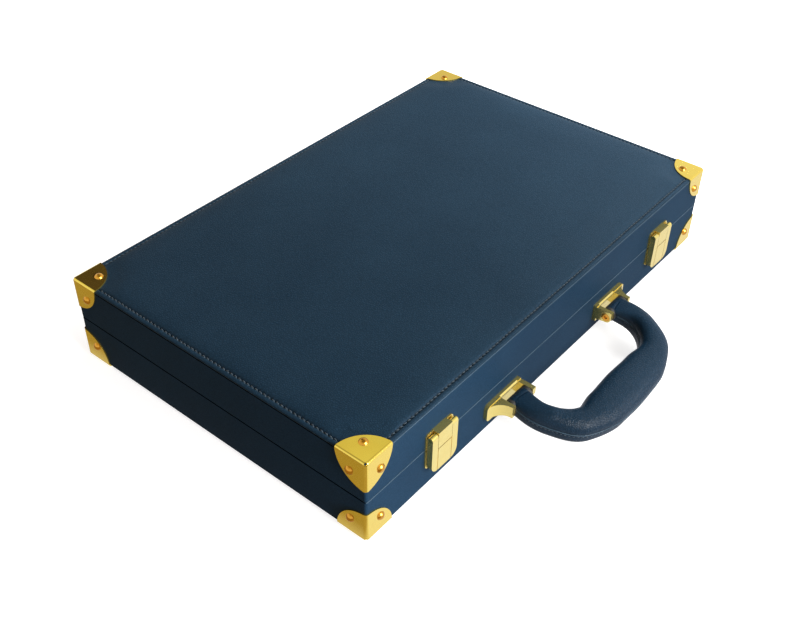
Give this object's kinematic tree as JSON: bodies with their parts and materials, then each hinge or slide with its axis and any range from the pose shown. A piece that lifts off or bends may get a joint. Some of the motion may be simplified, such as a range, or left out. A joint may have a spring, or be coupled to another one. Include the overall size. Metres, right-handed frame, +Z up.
{
  "type": "briefcase backgammon board",
  "caption": "Briefcase backgammon set: hinged leatherette case with brass corners, two latches and a carrying handle, opening flat into a board with its pieces inside.",
  "frame": {"origin": "centre of the sheet that covers the underside; the table is one nail head below it", "axes": "+X along the hinge, to the right seen from the handle; +Y from the handle to the hinge; +Z up, through the lid of the closed case"},
  "size_m": [0.3854, 0.3146, 0.0668],
  "materials": {
    "leatherette_navy": "fine grain, satin",
    "wood_frame": "raw",
    "cushion": "soft",
    "field_felt": "felt",
    "point_cream": "smooth",
    "point_navy": "smooth",
    "brass_polished": "polished",
    "screw_steel": "satin",
    "handle_leather": "fine grain, satin",
    "handle_stiffener": "matt",
    "checker_ivory": "polished",
    "checker_navy": "polished",
    "dice_ivory": "polished"
  },
  "bodies": {
    "base": {"base_front_wall": "wood_frame", "base_back_wall": "wood_frame", "base_left_wall": "wood_frame", "base_right_wall": "wood_frame", "base_leatherette_wrap": "leatherette_navy", "base_playing_field": "field_felt", "base_points_light": "point_cream", "base_points_dark": "point_navy", "base_tray_divider": "leatherette_navy", "base_corner_front_left": "brass_polished", "base_corner_front_right": "brass_polished", "base_corner_back_left": "brass_polished", "base_corner_back_right": "brass_polished", "base_corner_nails": "brass_polished", "hinge_leaves_base": "brass_polished", "hinge_screws_base": "brass_polished", "base_bottom_panel": "wood_frame", "base_underside_sheet": "leatherette_navy", "latch_catch_left": "brass_polished", "handle_bracket_left": "brass_polished", "latch_catch_right": "brass_polished", "handle_bracket_right": "brass_polished", "hinge_pins": "brass_polished", "latch_catch_rivets": "brass_polished", "handle_pivot_screws": "brass_polished", "handle_bracket_screws": "screw_steel", "checkers_light": "checker_ivory", "checkers_dark": "checker_navy", "dice": "dice_ivory", "doubling_cube": "dice_ivory", "dice_cups": "leatherette_navy"},
    "lid": {"lid_front_wall": "wood_frame", "lid_back_wall": "wood_frame", "lid_left_wall": "wood_frame", "lid_right_wall": "wood_frame", "lid_leatherette_wrap": "leatherette_navy", "lid_playing_field": "field_felt", "lid_points_light": "point_cream", "lid_points_dark": "point_navy", "lid_tray_divider": "leatherette_navy", "lid_corner_front_left": "brass_polished", "lid_corner_front_right": "brass_polished", "lid_corner_back_left": "brass_polished", "lid_corner_back_right": "brass_polished", "lid_corner_nails": "brass_polished", "lid_top_panel": "wood_frame", "lid_top_cover": "leatherette_navy", "lid_pad": "cushion", "hinge_leaves_lid": "brass_polished", "hinge_screws_lid": "brass_polished", "latch_body_left": "brass_polished", "latch_body_right": "brass_polished", "latch_pins": "brass_polished", "latch_body_rivets": "brass_polished"},
    "flap_left": {"latch_flap_left": "brass_polished"},
    "flap_right": {"latch_flap_right": "brass_polished"},
    "handle": {"handle_core": "handle_stiffener", "handle_band": "handle_leather", "handle_grip": "handle_leather"}
  },
  "joints": [
    {"name": "lid_hinge", "type": "hinge", "parent": "base", "child": "lid", "pos_m": [0, 0.1247, 0.0315], "axis": [-1, 0, 0], "range_deg": [0, 180]},
    {"name": "latch_left", "type": "hinge", "parent": "lid", "child": "flap_left", "pos_m": [-0.1273, -0.1248, 0.041], "axis": [-1, 0, 0], "range_deg": [0, 100]},
    {"name": "latch_right", "type": "hinge", "parent": "lid", "child": "flap_right", "pos_m": [0.1273, -0.1248, 0.041], "axis": [-1, 0, 0], "range_deg": [0, 100]},
    {"name": "handle_pivot", "type": "hinge", "parent": "base", "child": "handle", "pos_m": [0, -0.1315, 0.017], "axis": [1, 0, 0], "range_deg": [-97, 79]}
  ]
}
